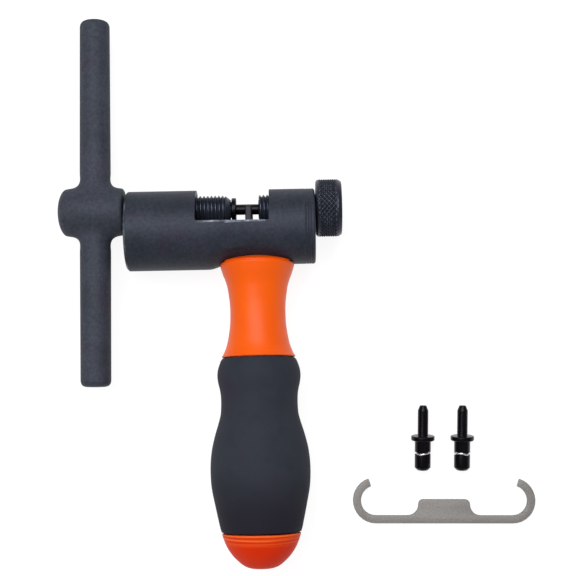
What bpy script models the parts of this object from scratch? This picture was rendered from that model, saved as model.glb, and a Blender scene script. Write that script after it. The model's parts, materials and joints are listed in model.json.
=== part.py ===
"""Bicycle chain tool: screw press for chain pins, with its loose spare pins and chain hook.

The tool lies on its side on the floor. In the tool's own frame X runs along the two
screws, from the T-bar to the knurled knob, -Y runs down the handle and Z faces up.
The screw axis and the handle axis cross at the tool's origin. Lengths are in metres.
"""
import math

import bmesh
import bpy
from mathutils import Matrix

MM = 0.001
NAME = "chain_tool"

# Clearances
SEAT_GAP = 0.3 * MM            # between pieces that touch on the real tool
THREAD_GAP = 0.3 * MM          # thread crest to its plain bore
MERGE = 0.00001                # welding distance for modifiers and curve caps
OVERRUN = 2.0 * MM             # cutters and joined pieces run this far past a face

# Round pieces: how many sides
FINE_SIDES = 40
SIDES = 28
SMALL_SIDES = 16
THREAD_SIDES = 12

# Screw thread shared by both screws (M10 x 1.25)
SCREW_CREST = 4.93 * MM
SCREW_PITCH = 1.25 * MM
THREAD_DEPTH = 0.63 * MM
SPIGOT_STEP = 0.2 * MM         # spigot below the thread's root
SCREW_ROOT = SCREW_CREST - THREAD_DEPTH
SPIGOT_RADIUS = SCREW_ROOT - SPIGOT_STEP    # plain end, pressed in the T-bar or the knob

# Tool body
BODY_RADIUS = 13.42 * MM
BODY_TOP = 6.62 * MM           # top line above the screw axis
BODY_LEFT = -43.7 * MM
BODY_RIGHT = 19.75 * MM
BODY_CHAMFER = 1.0 * MM
SLIM_STEP = 0.72 * MM          # radius lost on the right-hand stretch, same top line
SLIM_RADIUS = BODY_RADIUS - SLIM_STEP
COLLAR_RADIUS = 12.55 * MM     # handle's collar, which seats on the slim stretch
SLIM_START = -COLLAR_RADIUS
SLIM_TAPER = 1.5 * MM
NOTCH_LEFT = -20.0 * MM
NOTCH_RIGHT = 4.4 * MM
NOTCH_FLOOR_GAP = 0.57 * MM    # thread crest to the notch's floor
NOTCH_DEPTH = SCREW_CREST + NOTCH_FLOOR_GAP
TOOTH_X = -2.4 * MM
TOOTH_THICKNESS = 2.2 * MM
TOOTH_LENGTH = 4.2 * MM
TOOTH_PITCH = 12.7 * MM        # one chain pitch between the two teeth
TOOTH_TOP = 0.0 * MM
TOOTH_CHAMFER = 0.5 * MM
BODY_CENTRE = BODY_TOP - BODY_RADIUS
SLIM_CENTRE = BODY_TOP - SLIM_RADIUS
UNDERSIDE = BODY_RADIUS - BODY_CENTRE       # body's lowest line, below the screw axis
STUD_RADIUS = 3.95 * MM        # M8, in the boss that runs down the handle's neck
BOSS_WALL = 1.75 * MM
BOSS_LENGTH = 11.8 * MM        # below the body's underside
BOSS_CHAMFER = 0.5 * MM
BOSS_RADIUS = STUD_RADIUS + THREAD_GAP + BOSS_WALL
BOSS_END = UNDERSIDE + BOSS_LENGTH

# Driving pin and the two spares, which are the same
PIN_RADIUS = 1.78 * MM
PIN_LENGTH = 10.4 * MM
PIN_POINT_RADIUS = 1.15 * MM
PIN_POINT_LENGTH = 1.7 * MM
FLANGE_RADIUS = 4.0 * MM
FLANGE_THICKNESS = 1.55 * MM
FLANGE_CHAMFER = 0.25 * MM
SHANK_RADIUS = 2.72 * MM
SHANK_LENGTH = 10.2 * MM
SHANK_CHAMFER = 0.9 * MM
RING_BELOW_FLANGE = 4.3 * MM
RING_WIRE_RADIUS = 0.35 * MM
RING_PROUD = 0.23 * MM         # ring's outside beyond the shank
RING_RADIUS = SHANK_RADIUS + RING_PROUD - RING_WIRE_RADIUS    # to the wire's centre
RING_SLACK = RING_WIRE_RADIUS + SEAT_GAP    # half the width of the ring's grooves
PIN_FLANGE_RIGHT = -6.7 * MM   # flange's front face on the screw axis

# Pressure spindle and T-bar
NOSE_CHAMFER = 0.75 * MM
BAR_BACK = 9.8 * MM            # T-bar's axis behind the hub's face
SPIGOT_LENGTH = 15.9 * MM
BAR_TOP = 66.4 * MM
BAR_BOTTOM = -58.9 * MM
BAR_RADIUS = 5.27 * MM
BAR_END_RADIUS = 5.1 * MM
BAR_CORNER = 3.0 * MM
HUB_GAP = 0.9 * MM             # hub to body when the pin is fully home
HUB_LENGTH = 22.3 * MM
HUB_DOME = 4.1 * MM
HUB_WALL = 3.85 * MM
HUB_CHAMFER = 0.5 * MM
HUB_FACE = BODY_LEFT - HUB_GAP
HUB_RADIUS = SPIGOT_RADIUS + SEAT_GAP + HUB_WALL

# Adjusting screw and knob
ADJUSTER_FACE = 0.95 * MM
ADJUSTER_CHAMFER = 0.4 * MM
PIN_GUIDE_GAP = 0.37 * MM      # driving pin to the bush round its tip
BUSH_BORE = PIN_RADIUS + PIN_GUIDE_GAP
BUSH_WALL = 1.05 * MM
BUSH_RADIUS = BUSH_BORE + BUSH_WALL
BUSH_LENGTH = 7.8 * MM
BUSH_RECESS = 0.2 * MM
BUSH_MOUTH = 0.4 * MM
RIVET_BORE = BUSH_BORE + 0.15 * MM
RIVET_BORE_LENGTH = 14.0 * MM
KNOB_GAP = 0.35 * MM           # knob to body when the screw is fully home
KNOB_WIDTH = 8.7 * MM
KNOB_RADIUS = 9.75 * MM
KNOB_CHAMFER = 1.3 * MM
KNOB_WALL = 1.5 * MM           # knob left behind the pressed spigot

# Handle; its outlines are (radius, down) with down from the body's underside
COLLAR_RISE = 4.35 * MM        # collar's top above the underside, saddled round the body
COLLAR_TOP_RADIUS = 7.6 * MM
COLLAR_SLOPE = 2.5 * MM        # fall of the shallow dome from the collar's top to its rim
COLLAR_ROUND = 0.4 * MM
WAIST_RADIUS = 9.26 * MM
WAIST_DOWN = 15.0 * MM
NECK_LENGTH = 29.8 * MM
NECK_END_RADIUS = 12.15 * MM
TUBE_WALL = 2.1 * MM           # tube under the rubber
TUBE_BORE = 8.2 * MM           # store for the spare pins
TUBE_RADIUS = TUBE_BORE + TUBE_WALL
GRIP_TOP_RADIUS = 12.4 * MM
BELLY_RADIUS = 16.56 * MM
BELLY_DOWN = 37.8 * MM         # from the neck's end
GRIP_LENGTH = 57.35 * MM
GRIP_END_RADIUS = 13.15 * MM
GRIP_END = NECK_LENGTH + SEAT_GAP + GRIP_LENGTH
TUBE_END = GRIP_END - 0.15 * MM
SHOULDER_RADIUS = 13.86 * MM   # bead under the rubber's top edge
SHOULDER_DOWN = 5.9 * MM       # from the rubber's top edge
SLACK_RADIUS = 12.74 * MM      # finger hollow below the shoulder
SLACK_DOWN = 15.0 * MM
CAP_TOP_RADIUS = 13.05 * MM
CAP_LENGTH = 11.5 * MM
CAP_FLAT_RADIUS = 4.4 * MM
CAP_DOME = ((1.0, 0.0), (0.86, 0.31), (0.578, 0.643), (0.243, 0.883), (0.0, 1.0))
PLUG_CLEARANCE = 0.4 * MM
PLUG_RADIUS = TUBE_BORE - PLUG_CLEARANCE
PLUG_WALL = 2.2 * MM
PLUG_LENGTH = 9.95 * MM
PLUG_FLOOR = 4.05 * MM         # bottom of the plug's hollow, in the cap
SEAL_WIRE_RADIUS = 0.55 * MM
SEAL_RADIUS = TUBE_BORE - SEAT_GAP - SEAL_WIRE_RADIUS
SEAL_BACK = 2.35 * MM          # seal above the cap's shoulder
STUD_IN_BODY = 1.7 * MM        # stud's top above the underside
STUD_CHAMFER = 0.7 * MM
STUD_PROUD = 1.8 * MM          # stud beyond the nut
WASHER_RADIUS = TUBE_BORE - 0.6 * MM
WASHER_THICKNESS = 1.6 * MM
NUT_ACROSS_FLATS = 13.0 * MM
NUT_HEIGHT = 6.5 * MM

# Chain hook, cut from flat plate
HOOK_ARC_SPACING = 46.8 * MM
HOOK_ARC_RADIUS = 7.75 * MM    # outside of the end arcs
HOOK_STRIP = 2.7 * MM
HOOK_THICKNESS = 1.8 * MM
HOOK_ARC_END = math.radians(108.0)
HOOK_TAB_HALF_WIDTH = 8.8 * MM
HOOK_TAB_HEIGHT = 5.45 * MM    # above the strip
HOOK_TAB_CORNER = 1.6 * MM
HOOK_TAB_FILLET = 3.7 * MM

# Where the loose pieces lie, from the tool's origin
LAYOUT_TURN = math.radians(-1.15)
SPARE_PIN_X = 55.25 * MM
SPARE_PIN_SPACING = 13.43 * MM
SPARE_PIN_Y = -77.6 * MM       # middle of the flange's front face
HOOK_X = 62.2 * MM
HOOK_Y = -99.85 * MM           # centre line of the end arcs

STEEL_BLACK = (0.045, 0.05, 0.06)
COLOURS = {
    "black_steel": (STEEL_BLACK, 0.38, 0.9),
    "bar_steel": ((0.062, 0.068, 0.085), 0.42, 0.85),
    "pin_steel": ((0.02, 0.018, 0.024), 0.22, 0.9),
    "ring_steel": ((0.62, 0.62, 0.62), 0.25, 1.0),
    "zinc_steel": ((0.55, 0.56, 0.58), 0.35, 1.0),
    "hook_steel": ((0.29, 0.28, 0.27), 0.5, 0.8),
    "orange_plastic": ((0.83, 0.11, 0.015), 0.3, 0.0),
    "orange_cap": ((0.58, 0.065, 0.01), 0.38, 0.0),
    "rubber": ((0.04, 0.04, 0.05), 0.75, 0.0),
    "seal_rubber": ((0.01, 0.01, 0.01), 0.6, 0.0),
}


def clear_scene():
    for obj in list(bpy.data.objects):
        bpy.data.objects.remove(obj, do_unlink=True)


def new_collection(name):
    collection = bpy.data.collections.new(name)
    bpy.context.scene.collection.children.link(collection)
    return collection


def material(name):
    found = bpy.data.materials.get(name)
    if found:
        return found
    colour, roughness, metallic = COLOURS[name]
    made = bpy.data.materials.new(name)
    made.use_nodes = True
    shader = made.node_tree.nodes["Principled BSDF"]
    shader.inputs["Base Color"].default_value = (*colour, 1.0)
    shader.inputs["Roughness"].default_value = roughness
    shader.inputs["Metallic"].default_value = metallic
    return made


def evaluated_mesh(obj):
    """A plain mesh of the object with its modifiers applied."""
    bpy.context.view_layer.update()
    depsgraph = bpy.context.evaluated_depsgraph_get()
    return bpy.data.meshes.new_from_object(obj.evaluated_get(depsgraph))


def smooth(mesh):
    mesh.shade_smooth()
    mesh.set_sharp_from_angle(angle=math.radians(32.0))


def lathe_mesh(name, outline, sides, ring=False, rise=0.0, turns=1):
    """Mesh of an outline of (radius, height) turned about Z.

    The outline runs down its outer side. A ring outline is closed on itself. A rise
    makes a helix of that pitch instead of a closed turn.
    """
    mesh = bpy.data.meshes.new(name)
    points = [(radius, 0.0, height) for radius, height in outline]
    edges = [(i, i + 1) for i in range(len(points) - 1)]
    if ring:
        edges.append((len(points) - 1, 0))
    mesh.from_pydata(points, edges, [])
    obj = bpy.data.objects.new(name, mesh)
    bpy.context.scene.collection.objects.link(obj)
    screw = obj.modifiers.new("turn", "SCREW")
    screw.axis = "Z"
    screw.steps = sides
    screw.render_steps = sides
    screw.screw_offset = rise
    screw.iterations = turns
    screw.use_merge_vertices = True
    screw.merge_threshold = MERGE
    turned = evaluated_mesh(obj)
    turned.name = name
    bpy.data.objects.remove(obj)
    bpy.data.meshes.remove(mesh)
    return turned


def add(name, mesh, colour, parent, turn=Matrix.Identity(4), place=(0.0, 0.0, 0.0)):
    """Put a mesh in the model as a named piece under its parent empty."""
    obj = bpy.data.objects.new(name, mesh)
    if colour:
        mesh.materials.clear()
        mesh.materials.append(material(colour))
        smooth(mesh)
        parts.objects.link(obj)
    else:
        obj.hide_render = True
        obj.display_type = "WIRE"
        cutters.objects.link(obj)
    obj.parent = parent
    obj.matrix_local = Matrix.Translation(place) @ turn
    return obj


def empty(name, parent=None):
    obj = bpy.data.objects.new(name, None)
    obj.empty_display_size = 0.01
    parts.objects.link(obj)
    obj.parent = parent
    return obj


def boolean(obj, tool, operation):
    modifier = obj.modifiers.new(tool.name, "BOOLEAN")
    modifier.operation = operation
    modifier.solver = "EXACT"
    modifier.object = tool


ALONG_X = Matrix.Rotation(math.radians(90.0), 4, "Y")     # local Z becomes X
DOWN_Y = Matrix.Rotation(math.radians(90.0), 4, "X")      # local Z becomes -Y
UP_Y = Matrix.Rotation(math.radians(-90.0), 4, "X")       # local Z becomes Y


def arc(centre_r, centre_h, radius, start, end, count):
    """Points of an arc in the (radius, height) plane, in degrees from +radius."""
    angles = [math.radians(start + (end - start) * i / count) for i in range(count + 1)]
    return [(centre_r + radius * math.cos(a), centre_h + radius * math.sin(a)) for a in angles]


def rod(radius, low, high, chamfer=0.0):
    """Outline of a plain rod."""
    points = [(0.0, high)]
    if chamfer:
        points += [(radius - chamfer, high), (radius, high - chamfer),
                   (radius, low + chamfer), (radius - chamfer, low)]
    else:
        points += [(radius, high), (radius, low)]
    return points + [(0.0, low)]


def tube(outer, inner, low, high):
    """Closed outline of a plain tube."""
    return [(outer, high), (outer, low), (inner, low), (inner, high)]


def flowing(controls, per_span):
    """Points on a smooth curve through (radius, down) controls."""
    points = []
    ends = [controls[0]] + list(controls) + [controls[-1]]
    for i in range(len(controls) - 1):
        before, start, end, after = ends[i:i + 4]
        for step in range(per_span):
            t = step / per_span
            point = []
            for a, b, c, d in zip(before, start, end, after):
                point.append(0.5 * (2 * b + (c - a) * t + (2 * a - 5 * b + 4 * c - d) * t * t
                                    + (3 * b - a - 3 * c + d) * t ** 3))
            points.append(tuple(point))
    points.append(controls[-1])
    return points


def helix_mesh(name, crest, root, pitch, low, high):
    """Closed right-hand threaded rod a little longer than low to high, for a Boolean."""
    start = low - 2.0 * pitch
    turns = math.ceil((high - low) / pitch) + 3
    outline = [(root, start + pitch), (crest, start + 0.5 * pitch), (root, start)]
    mesh = lathe_mesh(name, outline, THREAD_SIDES, rise=pitch, turns=turns)
    work = bmesh.new()
    work.from_mesh(mesh)
    bmesh.ops.remove_doubles(work, verts=work.verts, dist=MERGE)
    open_edges = [edge for edge in work.edges if edge.is_boundary]
    middle = 0.5 * (low + high)
    for top in (False, True):
        rim = [e for e in open_edges if (e.verts[0].co.z > middle) == top]
        level = sum(v.co.z for e in rim for v in e.verts) / (2 * len(rim))
        centre = work.verts.new((0.0, 0.0, level))
        for edge in rim:
            work.faces.new((edge.verts[0], edge.verts[1], centre))
    bmesh.ops.recalc_face_normals(work, faces=work.faces)
    work.to_mesh(mesh)
    work.free()
    return mesh


def threaded(name, blank_outline, low, high, colour, parent):
    """Turned blank along X with the shared screw thread cut from low to high."""
    blank = add(name, lathe_mesh(name, blank_outline, SIDES), colour, parent, ALONG_X)
    thread = helix_mesh(name + "_thread", SCREW_CREST, SCREW_ROOT, SCREW_PITCH, low, high)
    boolean(blank, add(name + "_thread", thread, None, parent, ALONG_X), "INTERSECT")
    return blank


def box_mesh(name, low, high, chamfer=0.0):
    work = bmesh.new()
    bmesh.ops.create_cube(work, size=1.0)
    for vert in work.verts:
        for axis in range(3):
            vert.co[axis] = low[axis] if vert.co[axis] < 0 else high[axis]
    if chamfer:
        bmesh.ops.bevel(work, geom=work.edges[:], offset=chamfer, segments=1, affect="EDGES")
    mesh = bpy.data.meshes.new(name)
    work.to_mesh(mesh)
    work.free()
    return mesh


# ---------------------------------------------------------------- tool body

def make_body(tool):
    slim_scale = SLIM_RADIUS / BODY_RADIUS
    chamfer = BODY_CHAMFER
    outline = [(0.0, BODY_RIGHT), (BODY_RADIUS - chamfer, BODY_RIGHT),
               (BODY_RADIUS, BODY_RIGHT - chamfer), (BODY_RADIUS, SLIM_START),
               (BODY_RADIUS, SLIM_START - SLIM_TAPER), (BODY_RADIUS, BODY_LEFT + chamfer),
               (BODY_RADIUS - chamfer, BODY_LEFT), (0.0, BODY_LEFT)]
    mesh = lathe_mesh("tool_body", outline, FINE_SIDES)
    mesh.transform(Matrix.Translation((0.0, BODY_CENTRE, 0.0)) @ ALONG_X)
    for vert in mesh.vertices:
        if vert.co.x > SLIM_START - 0.5 * SLIM_TAPER:
            vert.co.y = BODY_TOP + (vert.co.y - BODY_TOP) * slim_scale
            vert.co.z *= slim_scale
    body = add("tool_body", mesh, "black_steel", tool)

    boss = rod(BOSS_RADIUS, -BODY_CENTRE, BOSS_END, BOSS_CHAMFER)
    boolean(body, add("boss", lathe_mesh("boss", boss, SIDES), None, tool, DOWN_Y), "UNION")
    reach = 2.0 * BODY_RADIUS
    notch = box_mesh("notch", (NOTCH_LEFT, -NOTCH_DEPTH, -reach), (NOTCH_RIGHT, reach, reach))
    boolean(body, add("notch", notch, None, tool), "DIFFERENCE")
    for side, sign in (("front", 1.0), ("back", -1.0)):
        middle = sign * 0.5 * TOOTH_PITCH
        low = (TOOTH_X - 0.5 * TOOTH_THICKNESS, -NOTCH_DEPTH - OVERRUN, middle - 0.5 * TOOTH_LENGTH)
        high = (TOOTH_X + 0.5 * TOOTH_THICKNESS, TOOTH_TOP, middle + 0.5 * TOOTH_LENGTH)
        tooth = box_mesh("tooth_" + side, low, high, TOOTH_CHAMFER)
        boolean(body, add("tooth_" + side, tooth, None, tool), "UNION")

    bore = SCREW_CREST + THREAD_GAP
    for label, low, high in (("spindle_bore", BODY_LEFT - OVERRUN, NOTCH_LEFT + OVERRUN),
                             ("adjuster_bore", NOTCH_RIGHT - OVERRUN, BODY_RIGHT + OVERRUN)):
        cutter = lathe_mesh(label, rod(bore, low, high), SIDES)
        boolean(body, add(label, cutter, None, tool, ALONG_X), "DIFFERENCE")
    hole = rod(STUD_RADIUS + THREAD_GAP, UNDERSIDE - STUD_IN_BODY - SEAT_GAP, BOSS_END + OVERRUN)
    cutter = lathe_mesh("stud_bore", hole, SMALL_SIDES)
    boolean(body, add("stud_bore", cutter, None, tool, DOWN_Y), "DIFFERENCE")


# ---------------------------------------------------------------- pins

def pin_outline():
    """Pin with its tip up and its flange's front face at height 0."""
    groove = RING_RADIUS - RING_SLACK
    ring = -FLANGE_THICKNESS - RING_BELOW_FLANGE
    half = RING_SLACK
    end = -FLANGE_THICKNESS - SHANK_LENGTH
    rim = FLANGE_CHAMFER
    return [(0.0, PIN_LENGTH), (PIN_POINT_RADIUS, PIN_LENGTH),
            (PIN_RADIUS, PIN_LENGTH - PIN_POINT_LENGTH), (PIN_RADIUS, 0.0),
            (FLANGE_RADIUS - rim, 0.0), (FLANGE_RADIUS, -rim),
            (FLANGE_RADIUS, -FLANGE_THICKNESS + rim), (FLANGE_RADIUS - rim, -FLANGE_THICKNESS),
            (SHANK_RADIUS, -FLANGE_THICKNESS), (SHANK_RADIUS, ring + half),
            (groove, ring + half), (groove, ring - half), (SHANK_RADIUS, ring - half),
            (SHANK_RADIUS, end + SHANK_CHAMFER), (SHANK_RADIUS - SHANK_CHAMFER, end), (0.0, end)]


def add_pin(name, parent, turn, place):
    """A pin and its snap ring, which share their frame."""
    add(name, lathe_mesh(name, pin_outline(), SMALL_SIDES), "pin_steel", parent, turn, place)
    ring_height = -FLANGE_THICKNESS - RING_BELOW_FLANGE
    wire = arc(RING_RADIUS, ring_height, RING_WIRE_RADIUS, 90.0, -225.0, 7)
    ring_name = name.replace("pin", "pin_ring")
    ring = lathe_mesh(ring_name, wire, SMALL_SIDES, ring=True)
    add(ring_name, ring, "ring_steel", parent, turn, place)


# ---------------------------------------------------------------- screws

def make_spindle(tool):
    flange_back = PIN_FLANGE_RIGHT - FLANGE_THICKNESS
    nose = flange_back - SEAT_GAP
    socket = SHANK_RADIUS + SEAT_GAP
    socket_end = flange_back - SHANK_LENGTH - SEAT_GAP
    ring = flange_back - RING_BELOW_FLANGE
    half = RING_SLACK
    groove = RING_RADIUS + RING_SLACK
    blank_radius = SCREW_CREST + SEAT_GAP
    shoulder = HUB_FACE + SEAT_GAP
    end = shoulder - SPIGOT_LENGTH
    outline = [(0.0, socket_end), (socket, socket_end), (socket, ring - half),
               (groove, ring - half), (groove, ring + half), (socket, ring + half),
               (socket, nose), (SCREW_CREST - NOSE_CHAMFER, nose),
               (blank_radius, nose - NOSE_CHAMFER - SEAT_GAP), (blank_radius, shoulder),
               (SPIGOT_RADIUS, shoulder), (SPIGOT_RADIUS, end), (0.0, end)]
    threaded("pressure_spindle", outline, end, nose, "black_steel", tool)


def make_t_bar(tool):
    corner = BAR_CORNER
    end = BAR_END_RADIUS
    outline = [(0.0, BAR_TOP)]
    outline += arc(end - corner, BAR_TOP - corner, corner, 90.0, 0.0, 4)
    outline += [(BAR_RADIUS, 0.0)]
    outline += arc(end - corner, BAR_BOTTOM + corner, corner, 0.0, -90.0, 4)
    outline += [(0.0, BAR_BOTTOM)]
    bar = add("t_bar_handle", lathe_mesh("t_bar_handle", outline, SIDES), "bar_steel", tool,
              UP_Y, (HUB_FACE - BAR_BACK, 0.0, 0.0))

    apex = HUB_FACE - HUB_LENGTH
    dome_end = apex + HUB_DOME
    hub = [(0.0, HUB_FACE), (HUB_RADIUS - HUB_CHAMFER, HUB_FACE),
           (HUB_RADIUS, HUB_FACE - HUB_CHAMFER)]
    for step in range(6):
        angle = math.radians(90.0 * step / 6)
        hub.append((HUB_RADIUS * math.cos(angle), dome_end - HUB_DOME * math.sin(angle)))
    hub.append((0.0, apex))
    boolean(bar, add("hub", lathe_mesh("hub", hub, SIDES), None, tool, ALONG_X), "UNION")
    bore = rod(SPIGOT_RADIUS + SEAT_GAP, HUB_FACE - SPIGOT_LENGTH, HUB_FACE + OVERRUN)
    cutter = lathe_mesh("hub_bore", bore, SMALL_SIDES)
    boolean(bar, add("hub_bore", cutter, None, tool, ALONG_X), "DIFFERENCE")


def make_adjuster(tool):
    knob_left = BODY_RIGHT + KNOB_GAP
    knob_right = knob_left + KNOB_WIDTH
    spigot_end = knob_right - KNOB_WALL - SEAT_GAP
    shoulder = knob_left - SEAT_GAP
    bush_seat = BUSH_RADIUS + SEAT_GAP
    bush_floor = ADJUSTER_FACE + BUSH_RECESS + BUSH_LENGTH + SEAT_GAP
    chamfer = ADJUSTER_CHAMFER
    blank_radius = SCREW_CREST + SEAT_GAP
    bore_end = ADJUSTER_FACE + RIVET_BORE_LENGTH
    outline = [(0.0, spigot_end), (SPIGOT_RADIUS, spigot_end), (SPIGOT_RADIUS, shoulder),
               (blank_radius, shoulder), (blank_radius, ADJUSTER_FACE + chamfer + SEAT_GAP),
               (SCREW_CREST - chamfer, ADJUSTER_FACE), (bush_seat, ADJUSTER_FACE),
               (bush_seat, bush_floor), (RIVET_BORE, bush_floor),
               (RIVET_BORE, bore_end), (0.0, bore_end)]
    threaded("adjusting_screw", outline, ADJUSTER_FACE, spigot_end, "black_steel", tool)

    left = ADJUSTER_FACE + BUSH_RECESS
    right = left + BUSH_LENGTH
    bush = [(BUSH_RADIUS, right), (BUSH_RADIUS, left), (BUSH_BORE + BUSH_MOUTH, left),
            (BUSH_BORE, left + BUSH_MOUTH), (BUSH_BORE, right)]
    add("adjuster_bush", lathe_mesh("adjuster_bush", bush, SMALL_SIDES, ring=True),
        "black_steel", tool, ALONG_X)

    edge = KNOB_CHAMFER
    seat = SPIGOT_RADIUS + SEAT_GAP
    knob = [(0.0, knob_right), (KNOB_RADIUS - edge, knob_right), (KNOB_RADIUS, knob_right - edge),
            (KNOB_RADIUS, knob_left + edge), (KNOB_RADIUS - edge, knob_left), (seat, knob_left),
            (seat, knob_right - KNOB_WALL), (0.0, knob_right - KNOB_WALL)]
    add("adjuster_knob", lathe_mesh("adjuster_knob", knob, FINE_SIDES), "black_steel", tool, ALONG_X)


# ---------------------------------------------------------------- handle

def upward(outline):
    """Reverse an outline that runs down the handle, whose local Z points down it."""
    return [(radius, down) for radius, down in reversed(outline)]


def make_handle(handle):
    collar_low = COLLAR_SLOPE - COLLAR_RISE
    neck = [(COLLAR_TOP_RADIUS, -COLLAR_RISE),
            (COLLAR_RADIUS - COLLAR_ROUND, collar_low - COLLAR_ROUND)]
    neck += flowing([(COLLAR_RADIUS, collar_low),
                     (COLLAR_RADIUS - 0.9 * MM, collar_low + 3.6 * MM),
                     (WAIST_RADIUS + 1.0 * MM, WAIST_DOWN - 9.2 * MM),
                     (WAIST_RADIUS + 0.2 * MM, WAIST_DOWN - 4.2 * MM),
                     (WAIST_RADIUS, WAIST_DOWN),
                     (WAIST_RADIUS + 0.3 * MM, WAIST_DOWN + 5.1 * MM),
                     (NECK_END_RADIUS - 1.5 * MM, NECK_LENGTH - 3.8 * MM),
                     (NECK_END_RADIUS, NECK_LENGTH)], 2)
    boss_seat = BOSS_RADIUS + SEAT_GAP
    boss_floor = BOSS_LENGTH + SEAT_GAP
    stud_hole = STUD_RADIUS + THREAD_GAP
    core = neck + [(TUBE_RADIUS, NECK_LENGTH), (TUBE_RADIUS, TUBE_END), (TUBE_BORE, TUBE_END),
                   (TUBE_BORE, NECK_LENGTH), (stud_hole, NECK_LENGTH), (stud_hole, boss_floor),
                   (boss_seat, boss_floor), (boss_seat, -COLLAR_RISE)]
    mesh = lathe_mesh("handle_core", upward(core), FINE_SIDES, ring=True)
    core = add("handle_core", mesh, "orange_plastic", handle, DOWN_Y)
    saddle = rod(SLIM_RADIUS + SEAT_GAP, BODY_LEFT, BODY_RIGHT + OVERRUN)
    cutter = lathe_mesh("saddle", saddle, FINE_SIDES)
    seat = (0.0, UNDERSIDE + SLIM_CENTRE, 0.0)
    boolean(core, add("saddle", cutter, None, handle, ALONG_X, seat), "DIFFERENCE")

    top = NECK_LENGTH + SEAT_GAP
    inside = TUBE_RADIUS + SEAT_GAP
    rubber = [(inside, top)]
    rubber += flowing([(GRIP_TOP_RADIUS, top),
                       (SHOULDER_RADIUS - 0.56 * MM, top + 0.42 * SHOULDER_DOWN),
                       (SHOULDER_RADIUS, top + SHOULDER_DOWN),
                       (SLACK_RADIUS + 0.4 * MM, top + SLACK_DOWN - 5.0 * MM),
                       (SLACK_RADIUS, top + SLACK_DOWN),
                       (SLACK_RADIUS + 0.4 * MM, top + SLACK_DOWN + 4.5 * MM),
                       (BELLY_RADIUS - 1.7 * MM, NECK_LENGTH + BELLY_DOWN - 12.3 * MM),
                       (BELLY_RADIUS - 0.46 * MM, NECK_LENGTH + BELLY_DOWN - 6.6 * MM),
                       (BELLY_RADIUS, NECK_LENGTH + BELLY_DOWN),
                       (BELLY_RADIUS - 0.46 * MM, NECK_LENGTH + BELLY_DOWN + 6.2 * MM),
                       (BELLY_RADIUS - 1.7 * MM, NECK_LENGTH + BELLY_DOWN + 12.3 * MM),
                       (GRIP_END_RADIUS, GRIP_END)], 2)
    rubber += [(inside, GRIP_END)]
    mesh = lathe_mesh("rubber_grip", upward(rubber), FINE_SIDES, ring=True)
    add("rubber_grip", mesh, "rubber", handle, DOWN_Y)


def make_end_cap(handle):
    """Cap with a hollow plug that screws into the tube, and its seal ring."""
    top = GRIP_END + SEAT_GAP
    seal = top - SEAL_BACK
    slack = SEAL_WIRE_RADIUS + SEAT_GAP
    groove = SEAL_RADIUS - slack
    bore = PLUG_RADIUS - PLUG_WALL
    cap = [(0.0, top + PLUG_FLOOR), (bore, top + PLUG_FLOOR), (bore, top - PLUG_LENGTH),
           (PLUG_RADIUS, top - PLUG_LENGTH), (PLUG_RADIUS, seal - slack), (groove, seal - slack),
           (groove, seal + slack), (PLUG_RADIUS, seal + slack), (PLUG_RADIUS, top)]
    fall = CAP_TOP_RADIUS - CAP_FLAT_RADIUS
    cap += flowing([(CAP_FLAT_RADIUS + fall * width, top + CAP_LENGTH * down)
                    for width, down in CAP_DOME], 2)
    cap += [(0.0, top + CAP_LENGTH)]
    mesh = lathe_mesh("end_cap", upward(cap), FINE_SIDES)
    add("end_cap", mesh, "orange_cap", handle, DOWN_Y)
    wire = arc(SEAL_RADIUS, seal, SEAL_WIRE_RADIUS, 90.0, -225.0, 7)
    mesh = lathe_mesh("cap_seal", wire, SIDES, ring=True)
    add("cap_seal", mesh, "seal_rubber", handle, DOWN_Y)


def make_handle_fixings(handle):
    washer_top = NECK_LENGTH + SEAT_GAP
    nut_top = washer_top + WASHER_THICKNESS + SEAT_GAP
    nut_end = nut_top + NUT_HEIGHT
    stud = rod(STUD_RADIUS, -STUD_IN_BODY, nut_end + STUD_PROUD, STUD_CHAMFER)
    add("handle_stud", lathe_mesh("handle_stud", stud, SMALL_SIDES), "zinc_steel", handle, DOWN_Y)
    hole = STUD_RADIUS + THREAD_GAP
    washer = tube(WASHER_RADIUS, hole, washer_top, washer_top + WASHER_THICKNESS)
    mesh = lathe_mesh("stud_washer", washer, SIDES, ring=True)
    add("stud_washer", mesh, "zinc_steel", handle, DOWN_Y)

    corner = 0.5 * NUT_ACROSS_FLATS / math.cos(math.radians(30.0))
    nut = add("stud_nut", lathe_mesh("stud_nut", rod(corner, nut_top, nut_end), 6), "zinc_steel",
              handle, DOWN_Y)
    bore = rod(hole, nut_top - OVERRUN, nut_end + OVERRUN)
    cutter = lathe_mesh("nut_bore", bore, SMALL_SIDES)
    boolean(nut, add("nut_bore", cutter, None, handle, DOWN_Y), "DIFFERENCE")


# ---------------------------------------------------------------- loose pieces

def circle_points(centre, radius, start, end, count):
    return [(centre[0] + radius * math.cos(start + (end - start) * i / count),
             centre[1] + radius * math.sin(start + (end - start) * i / count))
            for i in range(count + 1)]


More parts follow.
